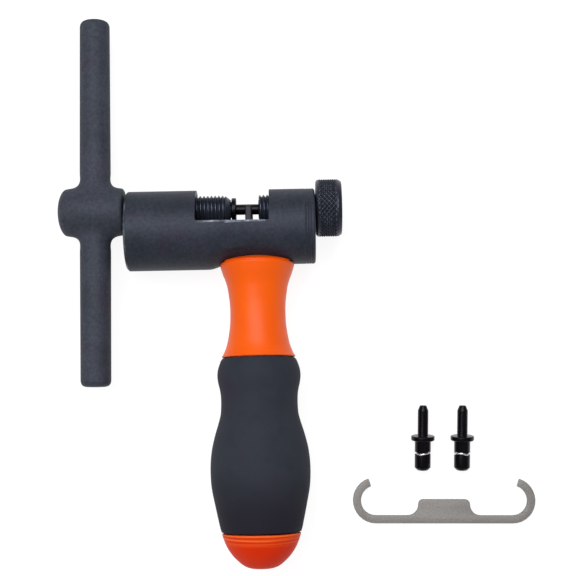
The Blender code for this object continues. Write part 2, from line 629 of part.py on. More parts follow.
def hook_outline():
    """Half of the hook's outline (x < 0), from the bottom edge's middle round to the tab's top."""
    centre = (-0.5 * HOOK_ARC_SPACING, 0.0)
    inner = HOOK_ARC_RADIUS - HOOK_STRIP
    down = -math.pi / 2
    sweep_end = HOOK_ARC_END - 2.0 * math.pi
    outer = circle_points(centre, HOOK_ARC_RADIUS, down, sweep_end, 14)
    back = circle_points(centre, inner, sweep_end, down, 12)
    strip_top = -inner
    tab = -HOOK_TAB_HALF_WIDTH
    fillet = circle_points((tab - HOOK_TAB_FILLET, strip_top + HOOK_TAB_FILLET),
                           HOOK_TAB_FILLET, down, 0.0, 6)
    tab_top = strip_top + HOOK_TAB_HEIGHT
    corner = circle_points((tab + HOOK_TAB_CORNER, tab_top - HOOK_TAB_CORNER),
                           HOOK_TAB_CORNER, math.pi, 0.5 * math.pi, 4)
    return outer + back + fillet + corner


def make_hook(layout):
    half = hook_outline()
    outline = half + [(-x, y) for x, y in reversed(half)]
    curve = bpy.data.curves.new("chain_hook", "CURVE")
    curve.dimensions = "2D"
    curve.fill_mode = "BOTH"
    curve.extrude = 0.5 * HOOK_THICKNESS
    spline = curve.splines.new("POLY")
    spline.points.add(len(outline) - 1)
    for point, (x, y) in zip(spline.points, outline):
        point.co = (x, y, 0.0, 1.0)
    spline.use_cyclic_u = True
    flat = bpy.data.objects.new("chain_hook", curve)
    bpy.context.scene.collection.objects.link(flat)
    mesh = evaluated_mesh(flat)
    bpy.data.objects.remove(flat)
    work = bmesh.new()
    work.from_mesh(mesh)
    bmesh.ops.remove_doubles(work, verts=work.verts, dist=MERGE)
    bmesh.ops.recalc_face_normals(work, faces=work.faces)
    work.to_mesh(mesh)
    work.free()
    turn = Matrix.Rotation(LAYOUT_TURN, 4, "Z")
    add("chain_hook", mesh, "hook_steel", layout, turn, (HOOK_X, HOOK_Y, 0.5 * HOOK_THICKNESS))


def make_spare_pins(layout):
    """Each spare lies on its flange's rim and the end of its shank."""
    rim_back = FLANGE_THICKNESS - FLANGE_CHAMFER
    shank_back = FLANGE_THICKNESS + SHANK_LENGTH - SHANK_CHAMFER
    lean = math.atan((FLANGE_RADIUS - SHANK_RADIUS) / (shank_back - rim_back))
    rim_height = FLANGE_RADIUS * math.cos(lean) + rim_back * math.sin(lean)
    across = math.cos(LAYOUT_TURN)
    along = math.sin(LAYOUT_TURN)
    turn = Matrix.Rotation(LAYOUT_TURN, 4, "Z") @ Matrix.Rotation(lean, 4, "X") @ UP_Y
    for index in range(2):
        step = index * SPARE_PIN_SPACING
        place = (SPARE_PIN_X + step * across, SPARE_PIN_Y + step * along, rim_height)
        add_pin("spare_pin_%d" % (index + 1), layout, turn, place)


def stand_on_origin(root):
    """Move everything so that the set's box stands centred on the world origin."""
    bpy.context.view_layer.update()
    depsgraph = bpy.context.evaluated_depsgraph_get()
    low = [math.inf] * 3
    high = [-math.inf] * 3
    for obj in parts.objects:
        if obj.type != "MESH":
            continue
        solid = obj.evaluated_get(depsgraph)
        for vert in solid.data.vertices:
            place = obj.matrix_world @ vert.co
            for axis in range(3):
                low[axis] = min(low[axis], place[axis])
                high[axis] = max(high[axis], place[axis])
    root.location = (-0.5 * (low[0] + high[0]), -0.5 * (low[1] + high[1]), -low[2])


clear_scene()
parts = new_collection(NAME)
cutters = new_collection("cutters")

layout = empty("layout")
tool = empty("tool_frame", layout)
belly = BODY_RADIUS + NECK_LENGTH + BELLY_DOWN      # along the handle from the body's centre
tool_lean = -math.asin((BELLY_RADIUS - BODY_RADIUS) / belly)
tool.rotation_euler = (tool_lean, 0.0, 0.0)
tool.location = (0.0, 0.0, BODY_RADIUS - BODY_CENTRE * math.sin(tool_lean))
handle = empty("handle_frame", tool)
handle.location = (0.0, -UNDERSIDE, 0.0)

make_body(tool)
make_spindle(tool)
make_t_bar(tool)
add_pin("driving_pin", tool, ALONG_X, (PIN_FLANGE_RIGHT, 0.0, 0.0))
make_adjuster(tool)
make_handle(handle)
make_end_cap(handle)
make_handle_fixings(handle)
make_spare_pins(layout)
make_hook(layout)
stand_on_origin(layout)
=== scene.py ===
"""Looks of the bicycle chain tool and its loose spare pins and chain hook.

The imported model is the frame. Sizes are in millimetres, in the tool's own frame: X along the
screws towards the knob, -Y down the handle, Z up, with the origin where the screws' axis and
the handle's axis cross. An outline is a list of (along, radius) points, and an outline of the
handle starts at the origin and runs down it. Meshes are made in metres.
"""
import json
import math

import bmesh
import bpy
import numpy as np
from mathutils import Matrix, Vector


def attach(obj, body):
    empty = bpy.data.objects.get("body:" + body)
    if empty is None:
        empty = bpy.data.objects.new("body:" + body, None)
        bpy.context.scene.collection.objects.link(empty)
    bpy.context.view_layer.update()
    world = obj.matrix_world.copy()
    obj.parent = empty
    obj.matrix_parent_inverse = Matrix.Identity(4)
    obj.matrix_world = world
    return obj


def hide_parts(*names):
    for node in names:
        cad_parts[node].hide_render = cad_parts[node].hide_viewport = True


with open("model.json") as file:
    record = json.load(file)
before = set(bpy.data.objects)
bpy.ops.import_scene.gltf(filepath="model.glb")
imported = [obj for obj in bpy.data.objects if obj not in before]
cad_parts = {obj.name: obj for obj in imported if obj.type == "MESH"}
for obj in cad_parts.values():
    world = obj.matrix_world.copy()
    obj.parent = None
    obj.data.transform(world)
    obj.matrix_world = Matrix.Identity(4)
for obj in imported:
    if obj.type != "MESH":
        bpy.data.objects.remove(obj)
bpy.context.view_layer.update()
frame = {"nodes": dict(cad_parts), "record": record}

MM = 0.001
WELD = 1e-6                       # metres between points that are one
NODES = frame["nodes"]
JOINTS = {joint["name"]: joint for joint in frame["record"]["behaviour"]["joints"]}


# ------------------------------------------------------------ the tool's own frame

def matrix(x, y, z, origin):
    """Placing matrix of three axes and an origin."""
    return Matrix((
        (x.x, y.x, z.x, origin.x),
        (x.y, y.y, z.y, origin.y),
        (x.z, y.z, z.z, origin.z),
        (0.0, 0.0, 0.0, 1.0)))


def tool_matrix():
    """Frame of the tool, from its two axes: the spindle's and the cap's."""
    screw = Vector(JOINTS["spindle_turn"]["pos_m"])
    cap = Vector(JOINTS["cap_turn"]["pos_m"])
    down = Vector(JOINTS["cap_turn"]["axis"]).normalized()
    origin = cap + down * (screw - cap).dot(down)
    side = Vector((1.0, 0.0, 0.0))
    return matrix(side, -down, side.cross(-down), origin)


TOOL = tool_matrix()
HANDLE = TOOL @ Matrix.Rotation(math.radians(-90.0), 4, "Z")    # its +X runs down the handle


# ------------------------------------------------------------ outlines

def rounded(outline, radius, steps=4):
    """Round each inner corner of an outline."""
    points = [Vector(p) for p in outline]
    out = [points[0]]
    for before, corner, after in zip(points, points[1:], points[2:]):
        one, two = before - corner, after - corner
        reach = min(radius, 0.45 * one.length, 0.45 * two.length)
        start = corner + one.normalized() * reach
        end = corner + two.normalized() * reach
        for i in range(steps + 1):
            t = i / steps
            out.append(start * (1 - t) ** 2 + corner * 2 * t * (1 - t) + end * t ** 2)
    out.append(points[-1])
    return [(p.x, p.y) for p in out]


def curve(points, steps=6):
    """Smooth curve through an outline's points."""
    p = [2 * Vector(points[0]) - Vector(points[1])] + [Vector(q) for q in points]
    p.append(2 * p[-1] - p[-2])
    out = []
    for a, b, c, d in zip(p, p[1:], p[2:], p[3:]):
        for i in range(steps):
            t = i / steps
            out.append(0.5 * (2 * b + (c - a) * t + (2 * a - 5 * b + 4 * c - d) * t * t
                              + (3 * b - a - 3 * c + d) * t ** 3))
    out.append(p[-2])
    return [(q.x, q.y) for q in out]


# ------------------------------------------------------------ meshes

def new_object(name, vertices, faces, place):
    """Object of a mesh given in millimetres in a local frame."""
    mesh = bpy.data.meshes.new(name)
    points = np.asarray(vertices, float) * MM
    mesh.from_pydata(points.tolist(), [], faces)
    mesh.validate()
    obj = bpy.data.objects.new(name, mesh)
    obj.matrix_world = place
    bpy.context.scene.collection.objects.link(obj)
    return obj


def grid_faces(rows, sides, ring=False):
    """Faces between rows of points that each go once round; a ring's last row meets its first."""
    faces = []
    for i in range(rows if ring else rows - 1):
        a, b = i * sides, ((i + 1) % rows) * sides
        for j in range(sides):
            k = (j + 1) % sides
            faces.append((a + j, a + k, b + k, b + j))
    return faces


def turned(name, outline, place, sides=96, ring=False):
    """Spin an outline about local X. A ring's outline closes on itself."""
    along, radius = np.array(outline, float).T
    radius = np.maximum(radius, 0.0)
    turn = np.linspace(0.0, 2 * math.pi, sides, endpoint=False)
    points = np.stack([np.repeat(along, sides), np.outer(radius, np.cos(turn)).ravel(),
                       np.outer(radius, np.sin(turn)).ravel()], 1)
    return new_object(name, points, grid_faces(len(along), sides, ring), place)


def box(name, low, high, place):
    corners = [(x, y, z) for x in (low[0], high[0]) for y in (low[1], high[1])
               for z in (low[2], high[2])]
    faces = [(0, 1, 3, 2), (4, 6, 7, 5), (0, 4, 5, 1), (2, 3, 7, 6), (0, 2, 6, 4), (1, 5, 7, 3)]
    return new_object(name, corners, faces, place)


def closed(obj):
    """Weld a lathe's seams and close its end circles, ready for a Boolean."""
    bm = bmesh.new()
    bm.from_mesh(obj.data)
    bmesh.ops.remove_doubles(bm, verts=bm.verts, dist=WELD)
    edges = [e for e in bm.edges if e.is_boundary]
    if edges:
        bmesh.ops.holes_fill(bm, edges=edges)
    bmesh.ops.recalc_face_normals(bm, faces=bm.faces)
    bm.to_mesh(obj.data)
    bm.free()
    return obj


def shade(obj, angle=35.0):
    """Weld, turn every face outwards, and shade smooth but for edges sharper than the angle."""
    bm = bmesh.new()
    bm.from_mesh(obj.data)
    bmesh.ops.remove_doubles(bm, verts=bm.verts, dist=2 * WELD)
    bmesh.ops.recalc_face_normals(bm, faces=bm.faces)
    bm.to_mesh(obj.data)
    bm.free()
    obj.data.shade_smooth()
    obj.data.set_sharp_from_angle(angle=math.radians(angle))


def modifier(obj, kind, **settings):
    """Add a modifier and apply it."""
    mod = obj.modifiers.new(kind.lower(), kind)
    for key, value in settings.items():
        setattr(mod, key, value)
    graph = bpy.context.evaluated_depsgraph_get()
    mesh = bpy.data.meshes.new_from_object(obj.evaluated_get(graph))
    obj.modifiers.clear()
    obj.data = mesh


def cut(obj, cutter, operation="DIFFERENCE"):
    bpy.context.view_layer.update()
    modifier(obj, "BOOLEAN", object=cutter, operation=operation, solver="EXACT")
    bpy.data.objects.remove(cutter)


def soften(obj, width, angle):
    """Bevel the edges that are sharper than the angle."""
    modifier(obj, "BEVEL", width=width * MM, segments=3, limit_method="ANGLE",
             angle_limit=math.radians(angle), use_clamp_overlap=True)


def fit(obj, body, paint, *nodes):
    """Piece rides on a body, stands for the nodes and takes a material."""
    obj.data.transform(obj.matrix_world)
    obj.matrix_world = Matrix.Identity(4)
    obj.data.materials.clear()
    obj.data.materials.append(PAINT[paint])
    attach(obj, body)
    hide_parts(*nodes)


# ------------------------------------------------------------ material helpers

class Paint:
    """Small helper that wires one procedural material."""

    def __init__(self, name, colour, roughness, metallic=0.0, **inputs):
        self.name = name
        self.material = bpy.data.materials.new(name)
        self.material.use_nodes = True
        self.tree = self.material.node_tree
        self.shader = self.tree.nodes["Principled BSDF"]
        self.set("Base Color", (*colour, 1.0))
        self.set("Roughness", roughness)
        self.set("Metallic", metallic)
        for key, value in inputs.items():
            self.set(key.replace("_", " "), value)
        self.normal = None

    def set(self, key, value):
        self.shader.inputs[key].default_value = value

    def node(self, kind, **settings):
        node = self.tree.nodes.new("ShaderNode" + kind)
        for key, value in settings.items():
            if key in node.inputs:
                node.inputs[key].default_value = value
            else:
                setattr(node, key, value)
        return node

    def link(self, source, target):
        self.tree.links.new(source, target)

    def where(self, stretch=(1.0, 1.0, 1.0)):
        """Object coordinates, stretched; one unit is a metre."""
        coordinates = self.node("TexCoord")
        mapping = self.node("Mapping", Scale=stretch)
        self.link(coordinates.outputs["Object"], mapping.inputs["Vector"])
        return mapping.outputs["Vector"]

    def noise(self, scale, detail=4.0, rough=0.55, stretch=(1.0, 1.0, 1.0)):
        node = self.node("TexNoise", Scale=scale, Detail=detail, Roughness=rough)
        self.link(self.where(stretch), node.inputs["Vector"])
        return node.outputs["Fac"]

    def down_handle(self, start, stop):
        """0 at one distance down the handle and 1 at another, in millimetres, smoothly."""
        node = self.node("MapRange", interpolation_type="SMOOTHSTEP")
        for key, distance in (("From Min", start), ("From Max", stop)):
            node.inputs[key].default_value = (TOOL @ Vector((0.0, -distance * MM, 0.0))).y
        split = self.node("SeparateXYZ")
        self.link(self.where(), split.inputs["Vector"])
        self.link(split.outputs["Y"], node.inputs["Value"])
        return node.outputs["Result"]

    def ramp(self, source, stops):
        """Colour ramp of (place, colour) stops."""
        node = self.node("ValToRGB")
        elements = node.color_ramp.elements
        while len(elements) < len(stops):
            elements.new(0.5)
        for element, (place, colour) in zip(elements, stops):
            element.position = place
            element.color = (*colour, 1.0)
        self.link(source, node.inputs["Fac"])
        return node.outputs["Color"]

    def mix(self, factor, one, two, blend="MIX"):
        """Blend two colours; each of the three may be a value or a socket."""
        node = self.node("Mix", data_type="RGBA", blend_type=blend)
        for key, value in (("Factor", factor), ("A", one), ("B", two)):
            if isinstance(value, bpy.types.NodeSocket):
                self.link(value, node.inputs[key])
            else:
                node.inputs[key].default_value = value
        return next(o for o in node.outputs if o.type == "RGBA")

    def colour(self, source):
        self.link(source, self.shader.inputs["Base Color"])

    def rough(self, source, low, high):
        node = self.node("MapRange")
        node.inputs["To Min"].default_value = low
        node.inputs["To Max"].default_value = high
        self.link(source, node.inputs["Value"])
        self.link(node.outputs["Result"], self.shader.inputs["Roughness"])

    def bump(self, source, height):
        """Bump of a height in millimetres, on top of any bump before it."""
        node = self.node("Bump", Distance=height * MM, Strength=1.0)
        self.link(source, node.inputs["Height"])
        if self.normal:
            self.link(self.normal, node.inputs["Normal"])
        self.normal = node.outputs["Normal"]
        self.link(self.normal, self.shader.inputs["Normal"])


def srgb(r, g, b):
    """Linear colour of a displayed one, 0 to 255."""
    def one(v):
        v /= 255.0
        return v / 12.92 if v <= 0.04045 else ((v + 0.055) / 1.055) ** 2.4
    return one(r), one(g), one(b)


def black_steel(name, base, tint, grain, mottle, roughness, metallic, specular=0.25):
    """Blued or oxidised steel: a cloudy blue-black film over a fine bead-blasted grain."""
    paint = Paint(name, base, roughness[0], metallic, Specular_IOR_Level=specular)
    cloud = paint.noise(mottle, 5.0, 0.6)
    speck = paint.noise(900.0, 3.0, 0.6)
    dark = tuple(c * 0.82 for c in base)
    light = tuple(c * 1.22 for c in base)
    film = paint.ramp(cloud, [(0.34, dark), (0.5, base), (0.66, light)])
    hue = paint.ramp(paint.noise(95.0, 2.0, 0.5), [(0.38, base), (0.52, light), (0.64, tint)])
    fleck = paint.ramp(speck, [(0.3, (0.78, 0.78, 0.78)), (0.7, (1.22, 1.22, 1.22))])
    paint.colour(paint.mix(1.0, paint.mix(0.35, film, hue), fleck, "MULTIPLY"))
    paint.rough(cloud, *roughness)
    paint.bump(speck, grain)
    return paint


# ------------------------------------------------------------ materials

def bar_steel():
    """Forged: a coarser grain under the film."""
    paint = black_steel("bar_steel", srgb(56, 60, 70), srgb(64, 58, 76), grain=0.07, mottle=110.0,
                        roughness=(0.58, 0.72), metallic=0.2, specular=0.18)
    paint.bump(paint.noise(330.0, 4.0, 0.6), 0.16)
    return paint


def body_steel():
    """Turned: faint tool marks run round the body."""
    paint = black_steel("body_steel", srgb(44, 49, 59), srgb(54, 46, 66), grain=0.04, mottle=70.0,
                        roughness=(0.46, 0.6), metallic=0.3, specular=0.2)
    paint.bump(paint.noise(1.0, 3.0, 0.6, (2600.0, 60.0, 60.0)), 0.012)
    return paint


def edge_highlight_steel():
    """Painted highlight on edges that catch the light, broken up in patches like bare steel showing
    through the black.
    """
    paint = Paint("edge_highlight_steel", srgb(96, 100, 108), 0.38, 0.6, Specular_IOR_Level=0.3)
    highlight_mottle = paint.noise(420.0, 4.0, 0.65)
    paint.colour(paint.ramp(highlight_mottle, [(0.38, srgb(44, 48, 58)), (0.56, srgb(84, 89, 98)),
                                   (0.74, srgb(128, 132, 140))]))
    paint.rough(highlight_mottle, 0.34, 0.5)
    paint.bump(paint.noise(1100.0, 3.0), 0.015)
    return paint


def notch_shade_steel():
    # Painted shade: a darker black for the inside of the notch and the bores.
    return black_steel("notch_shade_steel", srgb(26, 24, 30), srgb(38, 32, 40), grain=0.02, mottle=160.0,
                       roughness=(0.34, 0.48), metallic=0.3)


def screw_steel():
    return black_steel("screw_steel", srgb(58, 63, 75), srgb(66, 63, 79), grain=0.015, mottle=160.0,
                       roughness=(0.22, 0.34), metallic=0.6)


def knob_steel():
    return black_steel("knob_steel", srgb(46, 50, 60), srgb(52, 46, 60), grain=0.01, mottle=140.0,
                       roughness=(0.26, 0.38), metallic=0.6, specular=0.35)


def pin_steel():
    return black_steel("pin_steel", srgb(13, 10, 16), srgb(22, 18, 27), grain=0.006, mottle=220.0,
                       roughness=(0.22, 0.32), metallic=0.5)


def ring_steel():
    paint = Paint("ring_steel", srgb(226, 226, 228), 0.22, 1.0)
    paint.bump(paint.noise(1500.0, 2.0), 0.01)
    return paint


def zinc_steel():
    paint = Paint("zinc_steel", srgb(186, 188, 192), 0.34, 1.0)
    cloud = paint.noise(220.0, 4.0)
    paint.colour(paint.ramp(cloud, [(0.3, srgb(160, 163, 168)), (0.7, srgb(203, 205, 206))]))
    paint.rough(cloud, 0.28, 0.42)
    paint.bump(paint.noise(1100.0, 3.0), 0.012)
    return paint


def hook_steel():
    """Bare grey plate: fine grit over faint patches."""
    paint = Paint("hook_steel", srgb(138, 134, 131), 0.6, 0.45, Specular_IOR_Level=0.4)
    grit = paint.noise(1700.0, 4.0, 0.7)
    patch = paint.noise(75.0, 4.0, 0.6)
    fine = paint.ramp(grit, [(0.3, srgb(110, 106, 103)), (0.7, srgb(160, 156, 152))])
    broad = paint.ramp(patch, [(0.3, srgb(126, 122, 119)), (0.7, srgb(144, 141, 139))])
    paint.colour(paint.mix(0.5, fine, broad))
    paint.rough(patch, 0.52, 0.68)
    paint.bump(grit, 0.05)
    return paint


def orange_plastic():
    paint = Paint("orange_plastic", srgb(238, 90, 3), 0.4, 0.0, Specular_IOR_Level=0.22)
    cloud = paint.noise(45.0, 3.0, 0.5)
    paint.colour(paint.ramp(cloud, [(0.3, srgb(234, 86, 2)), (0.7, srgb(242, 95, 4))]))
    paint.rough(cloud, 0.36, 0.44)
    paint.bump(paint.noise(420.0, 3.0), 0.012)
    return paint


def orange_cap():
    """Darker and redder than the neck, with painted highlight lines across the end next to the grip."""
    paint = Paint("orange_cap", srgb(208, 42, 2), 0.5, 0.0, Specular_IOR_Level=0.08)
    cloud = paint.noise(60.0, 3.0, 0.5)
    skin = paint.ramp(cloud, [(0.3, srgb(206, 40, 1)), (0.7, srgb(216, 50, 3))])
    # painted highlight: lighter lines across the cap's end next to the grip
    lines = paint.ramp(paint.noise(1.0, 2.0, 0.5, (25.0, 1500.0, 25.0)),
                       [(0.42, srgb(206, 52, 6)), (0.6, srgb(244, 104, 44))])
    paint.colour(paint.mix(paint.down_handle(112.14, 108.14), skin, lines))
    paint.rough(cloud, 0.46, 0.58)
    paint.bump(paint.noise(1.0, 2.0, 0.5, (40.0, 1500.0, 40.0)), 0.03)
    return paint


def grip_rubber():
    """Matt black with faint green and purple clouds, and painted shade darkening it towards the cap, on
    the grip's lower slope.
    """
    paint = Paint("grip_rubber", srgb(44, 45, 55), 0.72, 0.0, Specular_IOR_Level=0.12)
    cloud = paint.noise(50.0, 4.0, 0.6)
    shades = paint.ramp(cloud, [(0.3, srgb(38, 41, 50)), (0.52, srgb(45, 49, 57)),
                                (0.7, srgb(48, 44, 57))])
    # painted shade: the grip darkens towards the cap, on its lower slope
    dark = (*srgb(33, 31, 41), 1.0)
    paint.colour(paint.mix(paint.down_handle(84.62, 104.64), shades, dark))
    paint.rough(cloud, 0.66, 0.8)
    paint.bump(paint.noise(1300.0, 3.0, 0.6), 0.035)
    paint.bump(paint.noise(190.0, 3.0, 0.5), 0.04)
    return paint


def seal_rubber():
    paint = Paint("seal_rubber", srgb(28, 28, 30), 0.45, 0.0)
    paint.bump(paint.noise(900.0, 3.0), 0.01)
    return paint


PAINT = {paint.name: paint.material for paint in (
    bar_steel(), body_steel(), edge_highlight_steel(), notch_shade_steel(), screw_steel(), knob_steel(),
    pin_steel(), ring_steel(), zinc_steel(), hook_steel(), orange_plastic(), orange_cap(),
    grip_rubber(), seal_rubber())}


# ------------------------------------------------------------ body

BODY_LEFT, BODY_RIGHT = -43.7, 19.75
LEFT_CHAMFER, RIGHT_CHAMFER, END_ROUND = 0.75, 0.5, 0.25
BODY_R = 13.42
SLIM_R = 12.70                    # right-hand stretch
TOP_LINE = 6.62                   # Y of both stretches' upper side
UNDER_COLLAR = 9.8                # the step between them ends here, from the handle's axis
STEP_UNDER, STEP_FRONT = 7.0, 19.0    # step's length underneath and at the front
END_GROOVES = (16.7, 17.6, 18.4)  # turned lines round the right-hand end
GROOVE_HALF_WIDTH, GROOVE_DEPTH = 0.2, 0.12
NOTCH_LEFT, NOTCH_RIGHT, NOTCH_FLOOR = -20.0, 4.4, -5.5
TOOTH_LEFT, TOOTH_RIGHT, TOOTH_TOP = -3.5, -1.3, 0.0
TOOTH_NEAR, TOOTH_FAR = 4.25, 8.45    # tooth's faces along Z, on both sides of the screws' axis
BORE_R = 5.25
CLEAR = 20.0                      # past the outside of the body, for a cutter


def slimming(x, lift):
    """Share of the step down to the slim stretch: short underneath (0), long at the front (1)."""
    stop = -math.sqrt(max(0.0, UNDER_COLLAR ** 2 - (SLIM_R * lift) ** 2))
    length = STEP_UNDER + (STEP_FRONT - STEP_UNDER) * lift ** 2
    t = min(1.0, max(0.0, (x - stop + length) / length))
    return t ** 3 * (10 - 15 * t + 6 * t * t)


def body_lathe(name, outline, grow=0.0):
    """Turned body whose right-hand stretch is slimmer underneath; its top line stays level."""
    body = turned(name, outline, TOOL, 144)
    for vertex in body.data.vertices:
        x, y, z = vertex.co / MM
        radius = math.hypot(y, z)
        if radius > 0.01:
            lift = 1.0 if y > 0.0 else abs(z) / radius
            step = (BODY_R - SLIM_R) * slimming(x, lift)
            scale = (radius - step + grow) / radius
            vertex.co = Vector((x, y * scale + TOP_LINE - BODY_R + step, z * scale)) * MM
        else:
            vertex.co = Vector((x, TOP_LINE - BODY_R, 0.0)) * MM
    return closed(body)


def body_outline():
    """Outline from left to right, with points along it for the step and grooves near the end."""
    left = [(BODY_LEFT, 0.0), (BODY_LEFT, BODY_R - LEFT_CHAMFER), (BODY_LEFT + LEFT_CHAMFER, BODY_R)]
    right = [(BODY_RIGHT - RIGHT_CHAMFER, BODY_R), (BODY_RIGHT, BODY_R - RIGHT_CHAMFER),
             (BODY_RIGHT, 0.0)]
    outline = rounded(left + [(-40.0, BODY_R)], END_ROUND)
    outline += [(x, BODY_R) for x in np.arange(-38.0, 16.0, 0.75)] + [(16.0, BODY_R)]
    for x in END_GROOVES:
        outline += [(x - GROOVE_HALF_WIDTH, BODY_R), (x, BODY_R - GROOVE_DEPTH),
                    (x + GROOVE_HALF_WIDTH, BODY_R)]
    return outline + rounded([(18.8, BODY_R)] + right, END_ROUND)


def notch_cutter():
    """Chain notch with its two teeth left standing on the floor."""
    notch = box("notch", (NOTCH_LEFT, NOTCH_FLOOR, -CLEAR), (NOTCH_RIGHT, CLEAR, CLEAR), TOOL)
    for near, far in ((-TOOTH_FAR, -TOOTH_NEAR), (TOOTH_NEAR, TOOTH_FAR)):
        low, high = (TOOTH_LEFT, NOTCH_FLOOR - 0.5, near), (TOOTH_RIGHT, TOOTH_TOP, far)
        cut(notch, box("tooth", low, high, TOOL))
    soften(notch, 0.45, 60.0)
    return notch


def paint_body(body):
    """Painted shade darkens the notch and bores, and painted highlight lightens the left chamfer and
    the notch's long edges.
    """
    body.data.materials.append(PAINT["notch_shade_steel"])
    body.data.materials.append(PAINT["edge_highlight_steel"])
    to_tool = TOOL.inverted()
    for face in body.data.polygons:
        x, y, z = (to_tool @ face.center) / MM
        facing = face.normal.x
        depth = SLIM_R - math.hypot(y - TOP_LINE + SLIM_R, z)
        inside = NOTCH_LEFT + 0.1 < x < NOTCH_RIGHT - 0.1 and y > NOTCH_FLOOR - 1.0 and depth > 0.3
        chamfer = x < BODY_LEFT + 0.8 and depth < 1.0 and -0.95 < facing < -0.3
        rim = (NOTCH_LEFT + 1.0 < x < NOTCH_RIGHT - 1.0 and abs(z) > 9.0
               and NOTCH_FLOOR - 0.7 < y < NOTCH_FLOOR + 0.3)
        # painted shade: the inside of the notch and the bores take the darker material
        if inside or math.hypot(y, z) < BORE_R + 0.15:
            face.material_index = 1
        # painted highlight: the left chamfer and the notch's long edges take the lighter edge material
        elif chamfer or rim:
            face.material_index = 2


def make_body():
    body = body_lathe("body", body_outline())
    cut(body, notch_cutter())
    for low, high in ((BODY_LEFT - 1.0, -12.0), (-1.0, BODY_RIGHT + 1.0)):
        bore = [(low, 0.0), (low, BORE_R), (high, BORE_R), (high, 0.0)]
        cut(body, closed(turned("bore", bore, TOOL, 72)))
    soften(body, 0.28, 32.0)
    shade(body, 40.0)
    modifier(body, "WEIGHTED_NORMAL", keep_sharp=True, weight=50)
    fit(body, "frame", "body_steel", "tool_body")
    paint_body(body)


# ------------------------------------------------------------ screws

PITCH, CREST, ROOT = 1.25, 4.93, 4.22    # both screws are M10 x 1.25
KNOB_LEFT, KNOB_RIGHT, KNOB_R = 20.1, 28.8, 9.75


def threaded(name, low, high, phase, limit, sides=64, steps=12):
    """Screw between two ends; limit(x) is the largest radius at x, for an end's taper."""
    crest_flat, flank = 0.1, 0.75     # shares of half a pitch
    shape = [min(1.0, max(0.0, (abs(2 * i / steps - 1) - crest_flat) / flank)) for i in range(steps)]
    rows = (math.ceil((high - low + phase) / PITCH) + 2) * steps + 1
    vertices, faces = [], []
    for i in range(rows):
        radius = ROOT + (CREST - ROOT) * shape[i % steps]
        for j in range(sides):
            angle = 2 * math.pi * j / sides
            x = low - PITCH + phase + PITCH * (i / steps + j / sides)
            x = min(max(x, low), high)
            reach = min(radius, limit(x))
            vertices.append((x, reach * math.cos(angle), reach * math.sin(angle)))
    for i in range(rows - 1):
        for j in range(sides):
            here, above = i * sides + j, (i + 1) * sides + j
            if j + 1 < sides:
                faces.append((here, here + 1, above + 1, above))
            elif i + 1 + steps < rows:
                faces.append((here, (i + steps) * sides, (i + steps + 1) * sides, above))
    for x in (low, high):
        start = len(vertices)
        edge = min(ROOT, limit(x))
        for j in range(sides):
            angle = 2 * math.pi * j / sides
            vertices.append((x, edge * math.cos(angle), edge * math.sin(angle)))
        faces.append(tuple(range(start, start + sides)))
    return new_object(name, vertices, faces, TOOL)


def make_spindle():
    """Spindle from inside the hub to its nose, which tapers."""
    back, nose, nose_radius, slope = -44.3, -8.55, 3.35, 0.78
    thread = threaded("spindle_thread", back, nose, 0.5, lambda x: nose_radius + slope * (nose - x))
    shade(thread, 40.0)
    fit(thread, "spindle", "screw_steel", "pressure_spindle")


def make_adjuster():
    """Adjusting screw from its face to just inside the knob."""
    face, chamfer = 0.95, 0.4
    inside_knob = KNOB_LEFT + 0.1
    thread = threaded("adjuster_thread", face, inside_knob, 0.3, lambda x: CREST - chamfer + x - face)
    shade(thread, 40.0)
    fit(thread, "adjuster", "screw_steel", "adjusting_screw")


def make_bush():
    """Nose bush that lets the driving pin's tip and the rivet in."""
    low, high, bore, outside = 0.8, 8.5, 2.15, 3.2
    tube = [(low, bore + 0.3), (low + 0.35, bore), (high, bore), (high, outside),
            (low + 0.15, outside), (low, outside - 0.15)]
    bush = turned("nose_bush", tube, TOOL, 48, ring=True)
    shade(bush)
    fit(bush, "adjuster_carriage", "pin_steel", "adjuster_bush")


def make_knob():
    """Knob with a raised diamond knurl between two turned chamfers."""
    low, high, radius = KNOB_LEFT, KNOB_RIGHT, KNOB_R
    start, stop, knurled = low + 0.65, high - 1.2, radius - 0.12
    around, along, groove_depth = 1.7, 1.5, 0.55    # pitches round and along the knob
    sides, rows = 360, 60
    left = rounded([(low, 0.0), (low, 4.9), (low, radius - 0.75), (start, knurled)], 0.3)
    right = rounded([(stop, knurled), (high, radius - 0.85), (high, 7.0),
                     (high - 0.25, 6.2), (high - 0.25, 0.0)], 0.3)
    starts = round(2 * math.pi * radius / around)
    turn = np.linspace(0.0, 1.0, sides, endpoint=False)
    circles = [(x, np.full(sides, r)) for x, r in left]
    for i in range(rows + 1):
        x = start + (stop - start) * i / rows
        fade = min(1.0, 6.0 * min(i, rows - i) / rows)
        twist = (x - start) / along
        u = (starts * turn + twist) % 1.0
        v = (starts * turn - twist) % 1.0
        ridge = np.minimum(1 - np.abs(2 * u - 1), 1 - np.abs(2 * v - 1))
        groove = 1 - np.minimum(1.0, ridge * 1.1)
        circles.append((x, radius - 0.02 - groove_depth * groove * fade - 0.1 * (1 - fade)))
    circles += [(x, np.full(sides, r)) for x, r in right]
    angle = 2 * math.pi * turn
    vertices = np.concatenate([
        np.stack([np.full(sides, x), r * np.cos(angle), r * np.sin(angle)], 1) for x, r in circles])
    knob = new_object("knurled_knob", vertices, grid_faces(len(circles), sides), TOOL)
    shade(knob, 50.0)
    fit(knob, "adjuster", "knob_steel", "adjuster_knob")


# ------------------------------------------------------------ driving pin and spares

